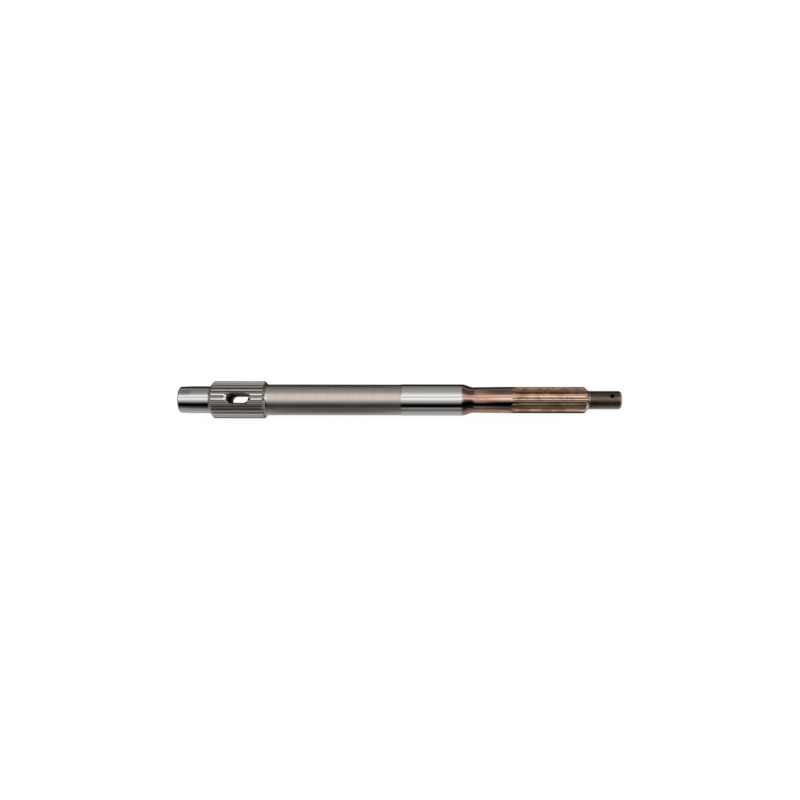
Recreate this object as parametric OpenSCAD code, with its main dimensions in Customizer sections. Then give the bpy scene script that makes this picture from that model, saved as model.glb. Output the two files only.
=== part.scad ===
// Propeller shaft: one steel bar, turned between centres, splined, slotted and drilled.
// The axis runs along X with the propeller end at +X, and the clutch pin slot runs along Z.
// X = 0 is the shoulder where the fore journal meets the clutch collar. Millimetres.

/* [Fore journal] */
// diameter of the fore bearing journal
journal_d = 25.9; // [25:0.1:26.5]
// length of the fore journal, from the end face to the collar
journal_len = 29.6; // [26:0.2:36]
// length of the slight lead-in taper at the fore end
lead_len = 12.7; // [8:0.1:18]
// how much thinner the lead-in is at its front, on the radius
lead_drop = 0.4; // [0.1:0.05:0.8]
// bevel at the fore end
fore_bevel = 1.0; // [0.4:0.1:1.6]

/* [Clutch collar] */
// diameter over the clutch teeth
collar_d = 35.8; // [35:0.1:37]
// length of the collar, with both bevels
collar_len = 54.1; // [48:0.1:64]
// number of clutch teeth
collar_teeth = 26; // [20:2:28]
// depth of the spaces between the clutch teeth
collar_tooth_h = 1.55; // [1.2:0.05:1.8]
// turn of the clutch teeth from the pin slot
collar_turn = 2.5; // [0:0.5:15]
// axial length of the front bevel
collar_front_bevel = 3.5; // [2.5:0.1:4.5]
// axial length of the aft bevel
collar_aft_bevel = 2.7; // [2:0.1:4]

/* [Pin slot] */
// length of the slot along the shaft, end to end
slot_len = 20.8; // [18:0.2:24]
// width of the slot
slot_w = 9.1; // [8:0.1:11]
// distance from the collar's front to the slot's centre
slot_at = 27.8; // [24:0.1:32]
// depth of the 45 degree break around both mouths of the slot
slot_break = 2.8; // [1.5:0.1:3.2]

/* [Shank] */
// diameter of the shank
shank_d = 29.5; // [28.6:0.1:29.8]
// length of the shank, from the collar to the seal journal
shank_len = 127.6; // [100:0.2:180]

/* [Seal journal] */
// diameter of the ground journal for the seals and the aft bearing
seal_d = 30.0; // [29.9:0.05:31]
// length of the ground journal
seal_len = 58.3; // [40:0.1:80]
// bevel at the journal's front edge, on the length
seal_bevel = 0.6; // [0.4:0.1:1.2]

/* [Neck] */
// diameter at the thin end of the neck
neck_d = 24.5; // [24:0.1:25]
// length of the curved taper into the neck
taper_len = 10.8; // [8:0.2:16]
// length of the neck with its taper, to where the spline runs out
neck_len = 46.6; // [36:0.2:60]

/* [Propeller spline] */
// diameter over the spline teeth
spline_d = 25.4; // [25.2:0.05:26]
// number of spline teeth
spline_teeth = 15; // [13:1:16]
// depth of the spline's tooth spaces
spline_tooth_h = 1.65; // [1.3:0.05:1.9]
// length of the spline with its run-out, without the end bevel
spline_len = 70.3; // [55:0.1:90]
// length over which the tooth spaces run out towards the neck
runout_len = 9; // [6:0.5:12]
// turn of the spline from the pin slot
spline_turn = 9.5; // [0:0.5:24]
// axial length of the bevel at the spline's end
spline_bevel = 3.4; // [2.6:0.1:4.2]

/* [Threaded stub] */
// outer diameter of the stub that takes the nut's thread
stub_d = 18.0; // [17:0.1:18.2]
// length of the stub
stub_len = 31.8; // [26:0.1:40]
// radius of the rounded nose
nose_r = 2.8; // [1.5:0.1:3.5]
// diameter of the cotter hole
cotter_d = 4.0; // [3:0.1:5]
// distance from the stub's end to the cotter hole
cotter_back = 9.5; // [8:0.1:14]
// turn of the cotter hole from the pin slot
cotter_turn = 22; // [0:1:30]
// width of the lathe centre in the stub's end face
centre_d = 5; // [3:0.5:7]

/* [Shift bore] */
// diameter of the blind bore for the shift slider
bore_d = 14.0; // [11:0.1:15]
// depth of the bore from the fore end to its flat end
bore_depth = 84.3; // [76:0.1:110]
// bevel at the bore's mouth
bore_bevel = 0.8; // [0.4:0.1:1.2]

/* [Hidden] */
$fn = 128;

// stations along the axis
x_fore = -journal_len;
x_shank = collar_len;
x_seal = x_shank + shank_len;
x_taper = x_seal + seal_len;
x_spline = x_taper + neck_len;
x_spline_end = x_spline + spline_len;
x_stub = x_spline_end + spline_bevel;
x_end = x_stub + stub_len;

// radii
r_journal = journal_d / 2;
r_collar = collar_d / 2;
r_shank = shank_d / 2;
r_seal = seal_d / 2;
r_neck = neck_d / 2;
r_spline = spline_d / 2;
r_stub = stub_d / 2;
r_bore = bore_d / 2;

// the collar's front face leaves the journal with a small square shoulder
collar_step = 0.65;

// tooth form shared by both splines, as shares of the pitch
space_top = 0.65;
space_root = 0.30;

// points of an S-curve from (x0, r0) to (x1, r1), level at both ends
function s_curve(x0, r0, x1, r1, n) =
    [for (i = [0 : n]) let (t = i / n)
        [r0 + (r1 - r0) * (3 * t * t - 2 * t * t * t), x0 + (x1 - x0) * t]];

// points of a quarter round of radius q that ends at radius r - q on x1
function nose(r, x1, q, n) =
    [for (i = [0 : n]) let (a = 90 * i / n)
        [r - q + q * cos(a), x1 - q + q * sin(a)]];

// outline of the turned bar, as [radius, distance along the axis]
outline = concat(
    [[0, x_fore],
     [r_journal - lead_drop - fore_bevel, x_fore],
     [r_journal - lead_drop, x_fore + fore_bevel],
     [r_journal - lead_drop, x_fore + fore_bevel + 2],
     [r_journal, x_fore + lead_len],
     [r_journal, 0],
     [r_journal + collar_step, 0],
     [r_collar, collar_front_bevel],
     [r_collar, collar_len - collar_aft_bevel],
     [r_shank + 0.3, collar_len - 0.3],
     [r_shank, collar_len + 0.6],
     [r_shank, x_seal],
     [r_seal, x_seal + seal_bevel]],
    s_curve(x_taper, r_seal, x_taper + taper_len, r_neck, 10),
    [[r_spline, x_spline],
     [r_spline, x_spline_end],
     [r_stub + 0.2, x_stub],
     [r_stub, x_stub]],
    nose(r_stub, x_end, nose_r, 6),
    [[0, x_end]]
);

// lays a shape drawn along Z onto the shaft's axis
module along_x() {
    rotate([0, 90, 0]) children();
}

// cross-section of one tooth space: y is radial, x runs round the shaft
module space_form(r_tip, h, teeth) {
    top = space_top * 2 * PI * r_tip / teeth / 2;
    root = space_root * 2 * PI * (r_tip - h) / teeth / 2;
    grow = (top - root) / h;
    polygon([[-root, r_tip - h], [root, r_tip - h],
             [top + 2 * grow, r_tip + 2], [-top - 2 * grow, r_tip + 2]]);
}

// turned to angle a from the slot's direction, seen along the shaft
module at_angle(a) {
    rotate([-a, 0, 0]) children();
}

// a tooth space that runs along X at the top of the shaft
module space_bar(r_tip, h, teeth, len) {
    rotate([90, 0, 90]) linear_extrude(len) space_form(r_tip, h, teeth);
}

// the spaces between the clutch teeth, open at both ends
module collar_spaces() {
    for (i = [0 : collar_teeth - 1])
        at_angle(collar_turn + i * 360 / collar_teeth)
            translate([-1, 0, 0])
                space_bar(r_collar, collar_tooth_h, collar_teeth, collar_len + 2);
}

// the spline's tooth spaces, which rise towards the neck in two steps as the cutter left them
module spline_spaces() {
    full = x_spline + runout_len;
    mid = runout_len * 0.55;
    rise = spline_tooth_h * 0.32;
    low = atan(rise / mid);
    steep = atan((spline_tooth_h - rise) / (runout_len - mid));
    for (i = [0 : spline_teeth - 1])
        at_angle(spline_turn + (i + 0.5) * 360 / spline_teeth) {
            translate([full, 0, 0])
                space_bar(r_spline, spline_tooth_h, spline_teeth, x_stub - full + 1);
            // the shallow part of the run-out
            translate([full, 0, r_spline - spline_tooth_h])
                rotate([0, low, 0]) mirror([1, 0, 0])
                    translate([-0.5, 0, -(r_spline - spline_tooth_h)])
                        space_bar(r_spline, spline_tooth_h, spline_teeth, mid + 1);
            // the steep end of the run-out
            translate([full - mid, 0, r_spline - spline_tooth_h + rise])
                rotate([0, steep, 0]) mirror([1, 0, 0])
                    translate([-0.5, 0, -(r_spline - spline_tooth_h)])
                        space_bar(r_spline, spline_tooth_h, spline_teeth, runout_len);
        }
}

// outline of the pin slot, lengthways along X
module slot_bar(w, h) {
    for (s = [-1, 1])
        translate([s * (slot_len - slot_w) / 2, 0, 0]) cylinder(d = w, h = h);
    translate([-(slot_len - slot_w) / 2, -w / 2, 0]) cube([slot_len - slot_w, w, h]);
}

// the 45 degree break around one mouth of the slot
module slot_mouth() {
    reach = slot_break + 2;
    straight = slot_len - slot_w;
    translate([0, 0, r_collar - slot_break]) {
        for (s = [-1, 1])
            translate([s * straight / 2, 0, 0])
                cylinder(r1 = slot_w / 2, r2 = slot_w / 2 + reach, h = reach);
        translate([-straight / 2, 0, 0]) rotate([90, 0, 90]) linear_extrude(straight)
            polygon([[-slot_w / 2, 0], [slot_w / 2, 0],
                     [slot_w / 2 + reach, reach], [-slot_w / 2 - reach, reach]]);
    }
}

// the through slot for the clutch's cross pin, broken at both mouths
module pin_slot() {
    translate([slot_at, 0, 0]) {
        translate([0, 0, -r_collar - 2]) slot_bar(slot_w, 2 * r_collar + 4);
        slot_mouth();
        mirror([0, 0, 1]) slot_mouth();
    }
}

// the blind bore for the shift slider, with a flat end for its spring
module shift_bore() {
    along_x() translate([0, 0, x_fore]) {
        translate([0, 0, -1]) cylinder(r = r_bore, h = bore_depth + 1);
        translate([0, 0, -1])
            cylinder(r1 = r_bore + bore_bevel + 1, r2 = r_bore, h = bore_bevel + 1);
    }
}

// the cotter hole across the stub
module cotter_hole() {
    translate([x_end - cotter_back, 0, 0]) at_angle(cotter_turn)
        translate([0, 0, -r_stub - 2]) cylinder(d = cotter_d, h = stub_d + 4);
}

// the 60 degree lathe centre in the stub's end face
module end_centre() {
    deep = centre_d / 2 / tan(30);
    translate([x_end - deep, 0, 0])
        along_x() cylinder(r1 = 0, r2 = (deep + 1) * tan(30), h = deep + 1);
}

// the whole shaft, one piece of steel
module shaft() {
    color([0.60, 0.57, 0.54])
    difference() {
        along_x() rotate_extrude() polygon(outline);
        collar_spaces();
        spline_spaces();
        pin_slot();
        shift_bore();
        cotter_hole();
        end_centre();
    }
}

shaft();
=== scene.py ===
"""Looks of the propeller shaft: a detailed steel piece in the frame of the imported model.

The shaft is one lathe-like mesh, with columns that follow the clutch teeth, the propeller
spline and the nut's thread. Lengths are in millimetres until the mesh is made.
"""

import math

import bmesh
import bpy
import numpy as np
from mathutils import Matrix


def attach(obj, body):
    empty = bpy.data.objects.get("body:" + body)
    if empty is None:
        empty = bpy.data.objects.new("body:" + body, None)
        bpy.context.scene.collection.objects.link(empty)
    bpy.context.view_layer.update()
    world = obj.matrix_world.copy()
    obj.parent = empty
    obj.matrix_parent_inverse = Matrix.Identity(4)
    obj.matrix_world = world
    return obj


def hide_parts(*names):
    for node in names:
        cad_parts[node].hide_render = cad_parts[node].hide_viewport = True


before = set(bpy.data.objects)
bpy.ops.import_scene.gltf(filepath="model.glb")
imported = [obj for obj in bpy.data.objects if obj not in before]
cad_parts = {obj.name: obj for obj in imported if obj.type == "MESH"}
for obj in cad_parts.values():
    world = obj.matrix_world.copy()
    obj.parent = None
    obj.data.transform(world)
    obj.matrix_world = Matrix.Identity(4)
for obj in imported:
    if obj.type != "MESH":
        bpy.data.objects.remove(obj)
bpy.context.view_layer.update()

MM = 0.001
COLS = 390  # 26 clutch teeth of 15 columns, and 15 spline teeth of 26


# ---------------------------------------------------------------- angular layouts

# offsets of the columns from a clutch tooth space's middle, in degrees, with their radii:
# flat floor, root fillet, flank, broken edge, land
COLLAR_OFF = [0, 1.1, 1.85, 2.26, 3.32, 4.29, 4.71, 5.9]
COLLAR_R = [16.35, 16.354, 16.36, 16.48, 17.15, 17.76, 17.875, 17.9]
COLLAR_TURN, COLLAR_PITCH = 2.5, 360.0 / 26

# the same for a space of the propeller spline
SPLINE_OFF = [0.6, 1.8, 2.9, 3.5, 3.95, 4.9, 5.9, 6.8, 7.5, 7.95, 8.9, 10.1, 11.4]
SPLINE_R = [11.05, 11.055, 11.064, 11.08, 11.21, 11.56, 11.955, 12.31, 12.57, 12.68, 12.7, 12.7, 12.7]
SPLINE_ROOT, SPLINE_EDGE, SPLINE_HALF = 3.6, 7.95, 12.0
SPLINE_FIRST = 21.5


def collar_columns():
    phi, r = np.zeros(COLS), np.zeros(COLS)
    for k in range(26):
        for i in range(-7, 8):
            j = 15 * k + i
            phi[j % COLS] = COLLAR_PITCH * k + math.copysign(COLLAR_OFF[abs(i)], i) + (360 if j < 0 else 0)
            r[j % COLS] = COLLAR_R[abs(i)]
    return phi + COLLAR_TURN, r


def spline_columns(q):
    """The spline's columns where its spaces have the share q of their full depth."""
    phi, r = np.zeros(COLS), np.zeros(COLS)
    w = max(q, 0.16)
    root = SPLINE_ROOT * 11.05 / (12.7 - 1.65 * q)
    edge = root + (SPLINE_EDGE - SPLINE_ROOT) * w
    for k in range(15):
        mid = SPLINE_FIRST + 24 * k
        for m in range(13):
            off = SPLINE_OFF[m]
            if off <= SPLINE_ROOT:
                off = off * root / SPLINE_ROOT
            elif off <= SPLINE_EDGE:
                off = root + (off - SPLINE_ROOT) * w
            else:
                off = SPLINE_HALF - (SPLINE_HALF - off) * (SPLINE_HALF - edge) / (SPLINE_HALF - SPLINE_EDGE)
            for side in (1, -1):
                j = int(round(23.5 + 26 * k + side * (m + 0.5)))
                phi[j % COLS] = mid + side * off - (360 if j >= COLS else 0)
                r[j % COLS] = 12.7 - q * (12.7 - SPLINE_R[m])
    return phi, r


# ---------------------------------------------------------------- the turned mesh

verts, faces = [], []


def add_ring(x, r, phi):
    """One ring of vertices; x and r are numbers or one number a column."""
    first = len(verts)
    a = np.radians(phi)
    x, r = np.broadcast_to(x, a.shape), np.broadcast_to(r, a.shape)
    for p in np.stack([x, r * np.sin(a), r * np.cos(a)], 1):
        verts.append(tuple(p * MM))
    return first


def skin(a, b, n, closed=True):
    for j in range(n if closed else n - 1):
        k = (j + 1) % n
        faces.append((a + j, a + k, b + k, b + j))


def fan(tip, ring, n):
    for j in range(n):
        faces.append((tip, ring + j, ring + (j + 1) % n))


def add_point(x):
    verts.append((x * MM, 0.0, 0.0))
    return len(verts) - 1


class Lathe:
    """Adds rings one after the other and skins each to the last."""

    def __init__(self):
        self.last = None

    def ring(self, x, r, phi):
        new = add_ring(x, r, phi)
        if self.last is not None:
            skin(self.last, new, COLS)
        self.last = new
        return new


PHI_C, R_C = collar_columns()
PHI_P, R_P = spline_columns(1.0)
PHI_N, R_N = spline_columns(0.0)

lathe = Lathe()

# shift bore, from its flat end to its mouth, and the fore face
tip = add_point(54.7)
fan(tip, lathe.ring(54.7, 3.0, PHI_C), COLS)
for x, r in [(54.7, 6.7), (54.6, 6.92), (54.38, 7.0), (47, 7), (42, 7), (36, 7), (29, 7), (22, 7),
             (16, 7), (8, 7), (0, 7), (-12, 7), (-22, 7), (-28.4, 7), (-28.72, 7.01), (-28.9, 7.1),
             (-29.46, 7.66), (-29.57, 7.79), (-29.6, 7.92), (-29.6, 8.4), (-29.6, 9.8),
             (-29.6, 11.0), (-29.6, 11.42), (-29.565, 11.56), (-29.47, 11.68)]:
    lathe.ring(x, r, PHI_C)

# fore journal with its lead-in
for x, r in [(-28.73, 12.42), (-28.62, 12.52), (-28.46, 12.55), (-27.8, 12.55), (-26.8, 12.55),
             (-26.4, 12.558), (-22, 12.74), (-17.1, 12.942), (-16.7, 12.95), (-12, 12.95),
             (-6, 12.95), (-1.2, 12.95), (-0.3, 12.95), (-0.09, 12.99), (-0.01, 13.1), (0, 13.25),
             (0, 13.52), (0.05, 13.65), (0.4, 14.09), (1.2, 15.07), (1.9, 15.93)]:
    lathe.ring(x, r, PHI_C)

# clutch collar
front = (R_C - 13.6) * 3.5 / 4.3
aft = 51.4 + (17.9 - R_C) * 2.4 / 2.85
lathe.ring(front - 0.11, R_C - 0.129, PHI_C)
lathe.ring(front + 0.05, R_C - 0.026, PHI_C)
lathe.ring(front + 0.2, R_C, PHI_C)
lathe.ring(front + 0.7, R_C, PHI_C)
for x in np.arange(5.5, 50.6, 2.5):
    lathe.ring(x, R_C, PHI_C)
lathe.ring(aft - 0.2, R_C, PHI_C)
lathe.ring(aft - 0.05, R_C - 0.026, PHI_C)
lathe.ring(aft + 0.1, R_C - 0.115, PHI_C)
for x, r in [(53.1, 15.88), (53.62, 15.262), (53.8, 15.07), (53.95, 15.0), (54.35, 14.86),
             (54.65, 14.77), (54.9, 14.75), (55.6, 14.75)]:
    lathe.ring(x, r, PHI_C)

# shank: the columns turn from the clutch's layout to the spline's
turn_phi = (PHI_N - PHI_C + 180) % 360 - 180
for x in [60, 68, 78, 90, 102, 114, 126, 138, 150, 160, 170, 177, 180.6]:
    t = min(max((x - 60) / 100, 0), 1)
    lathe.ring(x, 14.75, PHI_C + turn_phi * t)
for x, r in [(181.5, 14.75), (181.66, 14.755), (181.78, 14.785), (182.16, 14.94), (182.3, 14.985),
             (182.5, 15.0), (183.4, 15.0), (192, 15.0), (204, 15.0), (216, 15.0), (228, 15.0),
             (236, 15.0), (239.0, 15.0), (239.75, 15.0)]:
    lathe.ring(x, r, PHI_N)

# curved taper and neck
for i in range(1, 25):
    t = i / 24
    lathe.ring(240.0 + 10.8 * t, 15.0 - 2.75 * (3 * t * t - 2 * t ** 3), PHI_N)
for x in [252.2, 258, 266, 275, 282, 285.4]:
    lathe.ring(x, 12.25 + 0.45 * (x - 250.8) / 35.8, PHI_N)

# propeller spline: the cutter's arc first, then the full spaces
ARC = 25.4
for t in [0.0, 0.03, 0.07, 0.12, 0.18, 0.25, 0.33, 0.42, 0.52, 0.64, 0.78, 0.9, 1.0]:
    back = 9.0 * (1 - t)
    q = 1 - (ARC - math.sqrt(ARC * ARC - back * back)) / (ARC - math.sqrt(ARC * ARC - 81))
    phi, r = spline_columns(q)
    lathe.ring(286.6 + 9.0 * t, r, phi)
for x in [297, 302, 309, 316, 323, 330, 337, 344, 350, 354.5, 356.2]:
    lathe.ring(x, R_P, PHI_P)
end = 356.9 + (12.7 - R_P) * 3.4 / 3.5
lathe.ring(end - 0.2, R_P, PHI_P)
lathe.ring(end - 0.05, R_P - 0.026, PHI_P)
lathe.ring(end + 0.1, R_P - 0.124, PHI_P)
for r in [10.7, 10.0, 9.4]:
    lathe.ring(356.9 + (12.7 - r) * 3.4 / 3.5, r, PHI_P)
shoulder = lathe.ring(360.3, 9.2, PHI_P)

# threaded stub: rows that climb one pitch a turn, on 130 columns
T_COLS, PITCH = 130, 1.5
T_START, T_END = 360.3, 391.5
THREAD_F = [0, 0.03, 0.095, 0.125, 0.43, 0.50, 0.5625, 0.625, 0.695]
THREAD_R = [8.93, 8.975, 8.975, 8.93, 8.16, 8.07, 8.05, 8.07, 8.16]


def nose_radius(x):
    d = np.clip(x - 389.3, 0, 2.8)
    return 6.2 + np.sqrt(2.8 * 2.8 - d * d)


t_phi = np.arange(T_COLS + 1) * 360.0 / T_COLS
rows = []
turns = int(math.ceil((T_END - T_START) / PITCH)) + 2
for n in range(turns):
    for f, rad in zip(THREAD_F, THREAD_R):
        x = np.clip(T_START + PITCH * (n + f) - PITCH * t_phi / 360.0, T_START, T_END)
        s = np.clip((x - T_START - 0.5) / 1.5, 0, 1)
        depth = s * s * (3 - 2 * s)
        r = np.minimum(9.0 - depth * (9.0 - rad), nose_radius(x))
        rows.append(add_ring(x, r, t_phi))
        if len(rows) > 1:
            skin(rows[-2], rows[-1], T_COLS + 1, closed=False)
for k in range(T_COLS):
    j = 3 * k
    faces.append((shoulder + j, shoulder + j + 1, shoulder + j + 2, shoulder + (j + 3) % COLS,
                  rows[0] + k + 1, rows[0] + k))

# rounded nose, end face and lathe centre
last = rows[-1]
t_ring = t_phi[:-1]
n_phi = t_ring
prev = None
for a in [58, 65, 72, 79, 85, 90]:
    new = add_ring(389.3 + 2.8 * math.sin(math.radians(a)), 6.2 + 2.8 * math.cos(math.radians(a)), n_phi)
    if prev is None:
        for j in range(T_COLS):
            k = (j + 1) % T_COLS
            faces.append((last + j, last + j + 1, new + k, new + j))
    else:
        skin(prev, new, T_COLS)
    prev = new
for x, r in [(392.1, 5.9), (392.1, 4.4), (392.1, 3.0), (392.1, 2.62), (392.05, 2.52), (391.92, 2.396),
             (390.5, 1.576), (388.9, 0.652)]:
    new = add_ring(x, r, n_phi)
    skin(prev, new, T_COLS)
    prev = new
fan(add_point(387.77), prev, T_COLS)


def make_mesh(name, points, polys):
    mesh = bpy.data.meshes.new(name)
    mesh.from_pydata(points, [], polys)
    bm = bmesh.new()
    bm.from_mesh(mesh)
    bmesh.ops.remove_doubles(bm, verts=bm.verts, dist=2e-6)
    bmesh.ops.dissolve_degenerate(bm, edges=bm.edges, dist=1e-7)
    bmesh.ops.recalc_face_normals(bm, faces=bm.faces)
    bm.to_mesh(mesh)
    bm.free()
    obj = bpy.data.objects.new(name, mesh)
    bpy.context.scene.collection.objects.link(obj)
    return obj


def tube_of(outlines, name):
    """A closed solid from a stack of outlines with the same number of points."""
    points, polys = [], []
    n = len(outlines[0])
    for o in outlines:
        points += [tuple(c * MM for c in p) for p in o]
    for i in range(len(outlines) - 1):
        for j in range(n):
            k = (j + 1) % n
            polys.append((i * n + j, i * n + k, (i + 1) * n + k, (i + 1) * n + j))
    polys.append(tuple(reversed(range(n))))
    polys.append(tuple(range((len(outlines) - 1) * n, len(outlines) * n)))
    return make_mesh(name, points, polys)


def obround(z, half, straight, at, per_end=48, per_side=12):
    """Points round an outline with two straight sides and two round ends, lengthways along X."""
    out = []
    for side, start in ((1, -90), (-1, 90)):
        for i in range(per_end + 1):
            a = math.radians(start + 180 * i / per_end)
            out.append((at + side * straight / 2 + half * math.cos(a), half * math.sin(a), z))
        for i in range(1, per_side):
            out.append((at + side * (straight / 2 - straight * i / per_side), side * half, z))
    return out


def cut(obj, cutter):
    mod = obj.modifiers.new("cut", "BOOLEAN")
    mod.operation = "DIFFERENCE"
    mod.solver = "EXACT"
    mod.object = cutter
    deps = bpy.context.evaluated_depsgraph_get()
    result = bpy.data.meshes.new_from_object(obj.evaluated_get(deps))
    obj.modifiers.clear()
    old = obj.data
    obj.data = result
    result.name = old.name
    bpy.data.meshes.remove(old)
    mesh = cutter.data
    bpy.data.objects.remove(cutter)
    bpy.data.meshes.remove(mesh)


shaft = make_mesh("shaft_steel", verts, faces)

# pin slot with its 45 degree mouths
LEVELS = [(-20.0, 4.9), (-15.22, 0.14), (-15.0, 0.0), (15.0, 0.0), (15.22, 0.14), (20.0, 4.9)]
cut(shaft, tube_of([obround(z, 4.55 + d, 11.7, 27.8) for z, d in LEVELS], "slot_cutter"))

# cotter hole, with its mouths a little broken
turn = math.radians(22)
AX = np.array([0, math.sin(turn), math.cos(turn)])
SIDE = np.array([0, math.cos(turn), -math.sin(turn)])
rings = []
for along, rad in [(-12, 2.0 + 3.4), (-8.6, 2.0), (8.6, 2.0), (12, 2.0 + 3.4)]:
    rings.append([tuple(np.array([382.6, 0, 0]) + AX * along
                        + rad * (math.cos(a) * np.array([1, 0, 0]) + math.sin(a) * SIDE))
                  for a in np.linspace(0, 2 * math.pi, 56, endpoint=False)])
cut(shaft, tube_of(rings, "hole_cutter"))

bm = bmesh.new()
bm.from_mesh(shaft.data)
bmesh.ops.remove_doubles(bm, verts=bm.verts, dist=1e-6)
bmesh.ops.triangulate(bm, faces=[f for f in bm.faces if len(f.verts) > 4])
bmesh.ops.recalc_face_normals(bm, faces=bm.faces)
for f in bm.faces:
    f.smooth = True
for e in bm.edges:
    e.smooth = not (len(e.link_faces) == 2 and e.calc_face_angle(0) > math.radians(33))
bm.to_mesh(shaft.data)
bm.free()
weighted = shaft.modifiers.new("weighted", "WEIGHTED_NORMAL")
weighted.keep_sharp = True
weighted.weight = 60

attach(shaft, "root")
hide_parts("shaft")


# ---------------------------------------------------------------- material

X0, X1 = -29.6, 392.1


class Nodes:
    """Short ways to add shader nodes to one tree."""

    def __init__(self, tree):
        self.tree = tree
        tree.nodes.clear()

    def new(self, kind, **props):
        n = self.tree.nodes.new(kind)
        for k, v in props.items():
            setattr(n, k, v)
        return n

    def link(self, a, b):
        self.tree.links.new(a, b)

    def put(self, socket, value):
        if isinstance(value, bpy.types.NodeSocket):
            self.link(value, socket)
        else:
            socket.default_value = value

    def math(self, op, a, b=None, c=None, clamp=False):
        n = self.new("ShaderNodeMath", operation=op, use_clamp=clamp)
        for s, v in zip(n.inputs, (a, b, c)):
            if v is not None:
                self.put(s, v)
        return n.outputs[0]

    def span(self, value, lo, hi, to_lo=0.0, to_hi=1.0, smooth=False):
        n = self.new("ShaderNodeMapRange", interpolation_type="SMOOTHSTEP" if smooth else "LINEAR")
        n.clamp = True
        for s, v in zip(n.inputs[:5], (value, lo, hi, to_lo, to_hi)):
            self.put(s, v)
        return n.outputs[0]

    def ramp(self, value, stops):
        n = self.new("ShaderNodeValToRGB")
        els = n.color_ramp.elements
        while len(els) > 1:
            els.remove(els[-1])
        for i, (p, c) in enumerate(stops):
            e = els[0] if i == 0 else els.new(p)
            e.position = p
            e.color = (c, c, c, 1) if isinstance(c, (int, float)) else (*c, 1)
        self.put(n.inputs[0], value)
        return n.outputs[0]

    def along(self, value, stops):
        """A ramp whose stops are places along the shaft in millimetres."""
        return self.ramp(value, [((x - X0) / (X1 - X0), c) for x, c in stops])

    def mix(self, fac, a, b, blend="MIX"):
        n = self.new("ShaderNodeMix", data_type="RGBA", blend_type=blend)
        n.clamp_factor = True
        self.put(n.inputs[0], fac)
        for s, v in ((n.inputs[6], a), (n.inputs[7], b)):
            self.put(s, (*v, 1) if isinstance(v, tuple) else v)
        return n.outputs[2]

    def noise(self, vector, scale, detail=2.0, rough=0.5):
        n = self.new("ShaderNodeTexNoise")
        n.inputs["Scale"].default_value = scale
        n.inputs["Detail"].default_value = detail
        n.inputs["Roughness"].default_value = rough
        self.link(vector, n.inputs["Vector"])
        return n.outputs[0]


JOURNAL = (0.60, 0.585, 0.57)
COLLAR = (0.69, 0.645, 0.595)
MOUTH = (0.62, 0.57, 0.52)
SHANK = (0.56, 0.50, 0.455)
# painted highlight: the fillet at the collar's aft end is lighter than the shank
FILLET_PAINTED_HIGHLIGHT = (0.66, 0.62, 0.58)
SEAL = (0.62, 0.605, 0.59)
NECK_A = (0.38, 0.225, 0.18)
NECK_B = (0.55, 0.31, 0.23)
NECK_C = (0.52, 0.365, 0.285)
SPLINE_A = (0.74, 0.49, 0.35)
SPLINE_B = (0.72, 0.54, 0.41)
SPACE = (0.90, 0.645, 0.45)
RIM = (0.76, 0.64, 0.53)
STUB = (0.30, 0.25, 0.22)
# painted highlight: the rounded nose is lighter tan than the stub
NOSE_PAINTED_HIGHLIGHT = (0.52, 0.43, 0.35)

steel = bpy.data.materials.new("propeller_shaft_steel")
steel.use_nodes = True
g = Nodes(steel.node_tree)
coord = g.new("ShaderNodeTexCoord").outputs["Object"]
split = g.new("ShaderNodeSeparateXYZ")
g.link(coord, split.inputs[0])
px, py, pz = split.outputs
u = g.span(px, X0 * MM, X1 * MM)
radius = g.math("SQRT", g.math("ADD", g.math("MULTIPLY", py, py), g.math("MULTIPLY", pz, pz)))
angle = g.math("MULTIPLY", g.math("ARCTAN2", py, pz), 180 / math.pi)


def from_space(first, pitch):
    """Degrees from the middle of the nearest tooth space."""
    turns = g.math("FRACT", g.math("ADD", g.math("DIVIDE", g.math("SUBTRACT", angle, first), pitch), 20.5))
    return g.math("MULTIPLY", g.math("ABSOLUTE", g.math("SUBTRACT", turns, 0.5)), pitch)


# marks that run round the shaft: far finer along it than round it
around = g.new("ShaderNodeCombineXYZ")
g.link(px, around.inputs[0])
g.link(g.math("MULTIPLY", py, 0.03), around.inputs[1])
g.link(g.math("MULTIPLY", pz, 0.03), around.inputs[2])
around = around.outputs[0]
fine = g.noise(around, 2600, 3, 0.6)
broad = g.noise(around, 420, 3, 0.6)
stain = g.noise(coord, 45, 4, 0.6)
patch = g.noise(coord, 110, 3, 0.55)
speck = g.noise(coord, 700, 3, 0.6)

# painted highlight on the collar's aft fillet, lighter than the shank
tone = g.along(u, [(-29.6, JOURNAL), (-0.1, JOURNAL), (0.1, COLLAR), (53.6, COLLAR), (53.8, FILLET_PAINTED_HIGHLIGHT), (54.9, FILLET_PAINTED_HIGHLIGHT), (55.4, SHANK),
                   (181.6, SHANK), (182.2, SEAL), (239.6, SEAL), (240.1, NECK_A), (249.0, NECK_A),
                   (257.0, NECK_B), (266.0, NECK_B), (276.0, NECK_C), (286.0, NECK_C),
                   (291.0, SPLINE_A), (345.0, SPLINE_B), (356.8, SPLINE_B), (357.6, RIM), (360.1, RIM),
                   # the rounded nose gets a painted highlight
                   (360.5, STUB), (389.4, STUB), (391.2, NOSE_PAINTED_HIGHLIGHT)])
rough = g.along(u, [(-29.6, 0.07), (-0.1, 0.07), (0.1, 0.16), (53.6, 0.16), (53.9, 0.13), (54.9, 0.13), (55.5, 0.33), (181.6, 0.33),
                    (182.2, 0.055), (240.0, 0.055), (242.0, 0.05), (284.0, 0.055), (290.0, 0.09),
                    (360.2, 0.09), (360.6, 0.28), (389.6, 0.28), (391.4, 0.3)])
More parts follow.
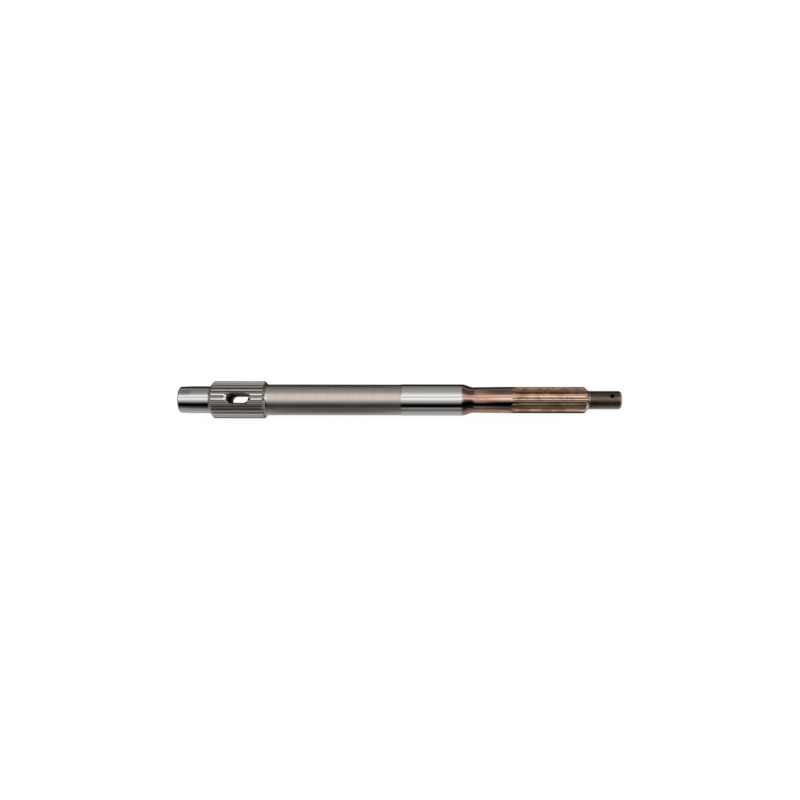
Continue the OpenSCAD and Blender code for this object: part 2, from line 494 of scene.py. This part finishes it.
satin = g.along(u, [(-29.6, 0.15), (-0.1, 0.15), (0.1, 0.2), (53.9, 0.2), (55.2, 1.0), (181.6, 1.0),
                    (182.2, 0.12), (240.0, 0.12), (244.0, 0.4), (286.0, 0.4), (292.0, 0.8), (392.1, 0.8)])
in_spline = g.along(u, [(286.6, 0.0), (288.0, 1.0), (357.0, 1.0), (359.5, 0.0)])
in_collar = g.along(u, [(-0.1, 0.0), (0.6, 1.0), (53.0, 1.0), (53.9, 0.0)])
in_neck = g.along(u, [(239.8, 0.0), (240.4, 1.0), (286.0, 1.0), (290.0, 0.0)])
metal = g.along(u, [(-0.1, 1.0), (0.3, 0.94), (53.6, 0.94), (54.6, 1.0), (392.1, 1.0)])
in_stub = g.along(u, [(360.3, 0.0), (360.9, 1.0), (392.1, 1.0)])

# heat tint on the neck runs from copper to a purple grey in soft patches
tone = g.mix(g.math("MULTIPLY", g.span(patch, 0.42, 0.62, 0.0, 0.6, smooth=True), in_neck), tone, (0.42, 0.27, 0.235))
# spline: brown stains first, then darker brown flanks with stain patches, and painted shade in the root corners
browned = g.math("MULTIPLY", g.along(u, [(292.0, 0.4), (322.0, 0.4), (348.0, 0.25)]), in_spline)
tone = g.mix(g.math("MULTIPLY", g.span(stain, 0.46, 0.6, smooth=True), browned), tone, (0.40, 0.20, 0.12))
tone = g.mix(g.math("MULTIPLY", g.span(patch, 0.5, 0.62, smooth=True), browned), tone, (0.30, 0.13, 0.09))
tone = g.mix(g.math("MULTIPLY", g.span(speck, 0.55, 0.72, 0.0, 0.45), in_spline), tone, (0.20, 0.11, 0.06))
below = g.math("MULTIPLY", g.span(radius, 12.69 * MM, 12.5 * MM, smooth=True), in_spline)
off = from_space(SPLINE_FIRST, 24.0)
flank = g.span(off, 2.6, 3.4, smooth=True)
corner = g.math("MULTIPLY", g.span(off, 2.3, 3.2, smooth=True), g.span(off, 3.8, 5.4, 1.0, 0.0, smooth=True))
# the spaces' floors are oxidised, matt and golden
floor_tone = g.mix(g.span(patch, 0.48, 0.6, 0.0, 0.6, smooth=True), SPACE, (0.50, 0.27, 0.15))
bare = g.math("MULTIPLY", below, g.math("SUBTRACT", 1.0, flank))
tone = g.mix(bare, tone, floor_tone)
flank_tone = g.mix(g.span(patch, 0.46, 0.56, 0.0, 0.8, smooth=True), g.mix(speck, (0.54, 0.34, 0.21), (0.36, 0.21, 0.12)), (0.24, 0.08, 0.05))
tone = g.mix(g.math("MULTIPLY", below, flank), tone, flank_tone)
# painted shade: the spline spaces' root corners are darkened almost to black
tone = g.mix(g.math("MULTIPLY", g.math("MULTIPLY", below, corner), 0.92), tone, (0.09, 0.035, 0.012))
metal = g.math("SUBTRACT", metal, g.math("MULTIPLY", bare, 0.7))
metal = g.math("SUBTRACT", metal, g.math("MULTIPLY", g.math("MULTIPLY", below, flank), 0.15))
rough = g.math("ADD", rough, g.math("MULTIPLY", bare, 0.25))
# painted shade in the clutch spaces: nearly black in their corners, strong on their flanks, lighter on their floors;
# the floors are also less metallic and rougher
below = g.math("MULTIPLY", g.span(radius, 17.86 * MM, 17.6 * MM, smooth=True), in_collar)
off = from_space(COLLAR_TURN, COLLAR_PITCH)
corner = g.math("MULTIPLY", g.span(off, 1.1, 1.9, smooth=True), g.span(off, 2.4, 3.2, 1.0, 0.0, smooth=True))
clutch_floor = g.math("MULTIPLY", below, g.span(off, 1.3, 2.0, 1.0, 0.0, smooth=True))
clutch_space_shade = g.math("ADD", g.math("SUBTRACT", 0.6, g.math("MULTIPLY", clutch_floor, 0.25)), g.math("MULTIPLY", corner, 0.35))
# the clutch spaces' painted shade is mixed into the tone here
tone = g.mix(g.math("MULTIPLY", below, clutch_space_shade), tone, (0.09, 0.078, 0.066))
metal = g.math("SUBTRACT", metal, g.math("MULTIPLY", clutch_floor, 0.3))
rough = g.math("ADD", rough, g.math("MULTIPLY", clutch_floor, 0.3))
# the slot's broken mouths are bright
past_x = g.math("MAXIMUM", g.math("SUBTRACT", g.math("ABSOLUTE", g.math("SUBTRACT", px, 27.8 * MM)), 5.85 * MM), 0.0)
from_slot = g.math("SQRT", g.math("ADD", g.math("MULTIPLY", past_x, past_x), g.math("MULTIPLY", py, py)))
rise = g.math("SUBTRACT", g.math("SUBTRACT", g.math("ABSOLUTE", pz), 15.1 * MM), g.math("SUBTRACT", from_slot, 4.55 * MM))
mouth = g.math("MULTIPLY", g.span(g.math("ABSOLUTE", rise), 0.06 * MM, 0.12 * MM, 1.0, 0.0), in_collar)
mouth = g.math("MULTIPLY", mouth, g.span(from_slot, 8.0 * MM, 8.2 * MM, 1.0, 0.0))
tone = g.mix(mouth, tone, MOUTH)
# painted shade: the slot's walls, and the cotter hole's wall below, are painted nearly black
wall = g.math("MULTIPLY", g.span(g.math("ABSOLUTE", py), 4.62 * MM, 4.7 * MM, 1.0, 0.0),
              g.span(g.math("ABSOLUTE", pz), 14.9 * MM, 15.1 * MM, 1.0, 0.0))
wall = g.math("MULTIPLY", wall, in_collar)
tone = g.mix(g.math("MULTIPLY", wall, 0.95), tone, (0.035, 0.033, 0.03))
tilt_s, tilt_c = math.sin(turn), math.cos(turn)
across = g.math("SUBTRACT", g.math("MULTIPLY", py, tilt_c), g.math("MULTIPLY", pz, tilt_s))
along = g.math("SUBTRACT", px, 382.6 * MM)
from_hole = g.math("SQRT", g.math("ADD", g.math("MULTIPLY", across, across), g.math("MULTIPLY", along, along)))
# painted shade: the cotter hole's wall is painted nearly black
tone = g.mix(g.math("MULTIPLY", g.span(from_hole, 2.05 * MM, 2.25 * MM, 0.9, 0.0), in_stub), tone, (0.02, 0.017, 0.015))
# turning bands
tone = g.mix(g.math("MULTIPLY", g.span(broad, 0.35, 0.65, 0.0, 0.14), satin), tone, (0.22, 0.19, 0.165))

grain = g.math("ADD", g.span(fine, 0.3, 0.7, -0.02, 0.02), g.span(stain, 0.35, 0.7, -0.02, 0.03))
rough = g.math("ADD", rough, g.math("MULTIPLY", grain, satin), clamp=True)

bump = g.new("ShaderNodeBump")
bump.inputs["Strength"].default_value = 0.1
bump.inputs["Distance"].default_value = 0.00001
height = g.math("MULTIPLY", fine, satin)
height = g.math("ADD", height, g.math("MULTIPLY", speck, g.math("MULTIPLY", in_spline, 1.5)))
g.link(height, bump.inputs["Height"])

shader = g.new("ShaderNodeBsdfPrincipled")
g.link(metal, shader.inputs["Metallic"])
g.link(tone, shader.inputs["Base Color"])
g.link(rough, shader.inputs["Roughness"])
g.link(bump.outputs[0], shader.inputs["Normal"])
out = g.new("ShaderNodeOutputMaterial")
g.link(shader.outputs[0], out.inputs[0])
shaft.data.materials.clear()
shaft.data.materials.append(steel)


# ---------------------------------------------------------------- floor, light and camera

TILT = 0.01527  # the shaft lies on the collar's teeth and the seal journal's end
floor_mesh = bpy.data.meshes.new("floor")
S = 8.0
z_at = lambda x: (-17.9 - 51.4 * TILT) * MM + x * TILT
floor_mesh.from_pydata([(-S, -S, z_at(-S)), (S, -S, z_at(S)), (S, S, z_at(S)), (-S, S, z_at(-S))], [],
                       [(0, 1, 2, 3)])
floor = bpy.data.objects.new("floor", floor_mesh)
bpy.context.scene.collection.objects.link(floor)

# pale to the eye; in the steel's reflections it glows with painted light and shade: brighter on the near side of the
# shaft, with painted shadow close under it, dimmer on the far side and changing past the shaft's ends
paper = bpy.data.materials.new("pale_floor")
paper.use_nodes = True
f = Nodes(paper.node_tree)
spot = f.new("ShaderNodeSeparateXYZ")
f.link(f.new("ShaderNodeTexCoord").outputs["Object"], spot.inputs[0])
NEAR = [(-0.4, 0.26), (-0.12, 0.36), (-0.04, 0.6), (-0.016, 0.55), (-0.004, 0.15), (0.008, 0.02),
        (0.045, 0.02), (0.075, 0.2), (0.12, 0.3), (0.4, 0.34)]
across = f.ramp(f.span(spot.outputs[1], -0.4, 0.4), [((y + 0.4) / 0.8, e) for y, e in NEAR])
# painted shade on the floor's far side, before the seal journal
shade = f.math("MULTIPLY", f.span(spot.outputs[0], 0.15, 0.18, 1.0, 0.0, smooth=True), f.span(spot.outputs[1], 0.05, 0.07, smooth=True))
across = f.math("MULTIPLY", across, f.math("SUBTRACT", 1.0, f.math("MULTIPLY", shade, 0.55)))
beyond = f.span(f.math("ABSOLUTE", f.math("SUBTRACT", spot.outputs[0], 0.181)), 0.22, 0.30, smooth=True)
far_y = f.span(spot.outputs[1], -0.055, -0.035, 0.3, 0.75)
# painted shade on the floor along the propeller spline, darkest on the near side
spline_floor_shade = f.math("MULTIPLY", f.span(spot.outputs[0], 0.28, 0.30, smooth=True), f.span(spot.outputs[0], 0.355, 0.365, 1.0, 0.0))
across = f.math("MULTIPLY", across, f.math("ADD", f.math("MULTIPLY", spline_floor_shade, far_y), f.math("SUBTRACT", 1.0, spline_floor_shade)))
across = f.math("MULTIPLY", across, f.span(spot.outputs[0], 0.355, 0.365, 1.0, 1.3))
# painted shadow on the near side of the floor in front of the shank
before = f.math("MULTIPLY", f.span(spot.outputs[0], 0.03, 0.06, smooth=True),
                f.span(spot.outputs[0], 0.15, 0.18, 1.0, 0.0, smooth=True))
before = f.math("MULTIPLY", before, f.span(spot.outputs[1], -0.07, -0.035, 1.0, 0.0))
across = f.math("MULTIPLY", across, f.math("SUBTRACT", 1.0, f.math("MULTIPLY", before, 0.65)))
past = f.span(spot.outputs[0], 0.36, 0.44, 0.45, 0.95, smooth=True)
past = f.math("MULTIPLY", past, f.span(spot.outputs[0], 0.8, 1.5, 1.0, 0.08, smooth=True))
back = f.new("ShaderNodeEmission")
f.link(f.mix(beyond, across, past), back.inputs[0])
pale = f.new("ShaderNodeBsdfDiffuse")
pale.inputs[0].default_value = (0.92, 0.92, 0.92, 1)
glow = f.new("ShaderNodeEmission")
glow.inputs[0].default_value = (1, 1, 1, 1)
glow.inputs[1].default_value = 1.06
seen = f.new("ShaderNodeMixShader")
seen.inputs[0].default_value = 0.9
f.link(pale.outputs[0], seen.inputs[1])
f.link(glow.outputs[0], seen.inputs[2])
path = f.new("ShaderNodeLightPath")
both = f.new("ShaderNodeMixShader")
f.link(path.outputs["Is Camera Ray"], both.inputs[0])
f.link(back.outputs[0], both.inputs[1])
f.link(seen.outputs[0], both.inputs[2])
end_node = f.new("ShaderNodeOutputMaterial")
f.link(both.outputs[0], end_node.inputs[0])
floor_mesh.materials.append(paper)

# a light tent: two bright top panels, soft grey sides, one dark card on the near side,
# and an end panel past the propeller end
world = bpy.data.worlds.new("studio")
bpy.context.scene.world = world
world.use_nodes = True
w = Nodes(world.node_tree)
direction = w.new("ShaderNodeTexCoord").outputs["Generated"]
parts = w.new("ShaderNodeSeparateXYZ")
w.link(direction, parts.inputs[0])
turn_angle = w.math("ARCTAN2", parts.outputs[1], parts.outputs[2])
turn01 = w.span(turn_angle, -math.pi, math.pi)
PEAK = 1.6
LIGHT = [(-180, 0.4), (-100, 0.16), (-91, 0.08), (-84, 0.04), (-70, 0.03), (-61, 0.01), (-56, 0.0), (-46, 0.0),
         (-38, 0.02), (-32, 0.12), (-25, 0.42), (-10, 0.9), (2, 1.6), (10, 0.9), (18, 1.05), (27, 1.45),
         (42, 0.8), (62, 0.5), (102, 0.34), (180, 0.3)]
STRIP = [(-180, 0.0), (-105, 0.0), (-98, 0.14), (-91, 0.19), (-84, 0.08), (-73, 0.38), (-65, 0.16), (-61, 0.0)]
FORE_STRIP = [(-180, 0.0), (-100, 0.1), (-90, 0.28), (-84, 0.25), (-76, 0.06), (-66, 0.0)]
dx = parts.outputs[0]
# the panels are not quite level: past the seal journal they stand a little higher
lift = w.math("MULTIPLY", w.span(dx, 0.03, 0.045, 0.0, 6.0 / 360, smooth=True),
              w.span(turn_angle, math.radians(-55), math.radians(-45)))
turn01 = w.math("SUBTRACT", turn01, lift)
base = w.ramp(turn01, [((a + 180) / 360, e / PEAK) for a, e in LIGHT])
# two short strips stand on the near side, one before the seal journal and one at the fore end
strip = w.ramp(turn01, [((a + 180) / 360, e / PEAK) for a, e in STRIP])
strip = w.math("MULTIPLY", strip, w.math("MULTIPLY", w.span(dx, -0.2, -0.07, smooth=True),
                                         w.span(dx, 0.03, 0.06, 1.0, 0.3, smooth=True)))
fore = w.ramp(turn01, [((a + 180) / 360, e / PEAK) for a, e in FORE_STRIP])
fore = w.math("MULTIPLY", fore, w.span(dx, -0.272, -0.252, 1.0, 0.0, smooth=True))
strips = w.math("ADD", base, w.math("ADD", strip, fore))
past_seal = w.span(dx, 0.03, 0.045, smooth=True)
edge = w.span(turn_angle, math.radians(-32), math.radians(-12))
core = w.math("MULTIPLY", w.span(turn_angle, math.radians(-9), math.radians(-3)),
              w.span(turn_angle, math.radians(8), math.radians(12), 1.0, 0.0))
gap = w.math("MULTIPLY", w.math("MULTIPLY", w.span(turn_angle, math.radians(8), math.radians(12)),
                                w.span(turn_angle, math.radians(20), math.radians(26), 1.0, 0.0)),
             w.span(dx, 0.085, 0.1, smooth=True))
core = w.math("ADD", w.math("MULTIPLY", core, 0.35), w.math("MULTIPLY", gap, 0.25))
edge = w.math("MULTIPLY", edge, w.math("ADD", 1.0, core))
is_top = w.span(turn_angle, math.radians(-46), math.radians(-42))
edge = w.math("ADD", w.math("MULTIPLY", edge, is_top), w.math("SUBTRACT", 1.0, is_top))
edge = w.math("ADD", w.math("MULTIPLY", edge, past_seal), w.math("SUBTRACT", 1.0, past_seal))
strips = w.math("MULTIPLY", strips, edge)
# the back panel fades towards both ends
fade = w.math("MULTIPLY", w.span(dx, -0.40, -0.16, 0.35, 1.0), w.span(dx, 0.03, 0.045, 1.0, 0.32, smooth=True))
is_back = w.span(turn_angle, math.radians(30), math.radians(48), smooth=True)
strips = w.math("MULTIPLY", strips, w.math("ADD", w.math("MULTIPLY", fade, is_back), w.math("SUBTRACT", 1.0, is_back)))
# only the top panels reach far past the propeller end
is_low = w.span(turn_angle, math.radians(-6), math.radians(4), 1.0, 0.0, smooth=True)
reach = w.span(dx, 0.2, 0.5, 1.0, 0.3, smooth=True)
strips = w.math("MULTIPLY", strips, w.math("ADD", w.math("MULTIPLY", reach, is_low), w.math("SUBTRACT", 1.0, is_low)))
plus_end = w.span(parts.outputs[2], 0.08, 0.22, 0.04, 1.2, smooth=True)
minus_end = w.span(parts.outputs[2], 0.0, 0.3, 0.35, 0.45)
side = w.span(parts.outputs[0], -0.1, 0.1)
end_light = w.math("ADD", w.math("MULTIPLY", plus_end, side),
                   w.math("MULTIPLY", minus_end, w.math("SUBTRACT", 1.0, side)))
ends = w.span(w.math("ABSOLUTE", parts.outputs[0]), 0.72, 0.96, smooth=True)
tent = w.mix(ends, strips, end_light)
wpath = w.new("ShaderNodeLightPath")
lamp = w.new("ShaderNodeBackground")
lamp.inputs[1].default_value = PEAK
w.link(tent, lamp.inputs[0])
plain = w.new("ShaderNodeBackground")
plain.inputs[0].default_value = (1, 1, 1, 1)
choose = w.new("ShaderNodeMixShader")
w.link(wpath.outputs["Is Camera Ray"], choose.inputs[0])
w.link(lamp.outputs[0], choose.inputs[1])
w.link(plain.outputs[0], choose.inputs[2])
w_out = w.new("ShaderNodeOutputWorld")
w.link(choose.outputs[0], w_out.inputs[0])

scene = bpy.context.scene
scene.view_settings.view_transform = "Standard"
scene.view_settings.look = "None"

lens = bpy.data.cameras.new("camera")
lens.sensor_width = 36.0
lens.lens = 38.25
lens.shift_x = -0.045
lens.clip_start = 0.01
camera = bpy.data.objects.new("camera", lens)
scene.collection.objects.link(camera)
lean, roll = math.radians(6.5), math.radians(0.07)
camera.location = (0.2151, -0.8147 * math.sin(lean), 0.8147 * math.cos(lean))
camera.rotation_euler = (Matrix.Rotation(lean, 3, "X") @ Matrix.Rotation(roll, 3, "Z")).to_euler()
scene.camera = camera

bpy.context.view_layer.update()
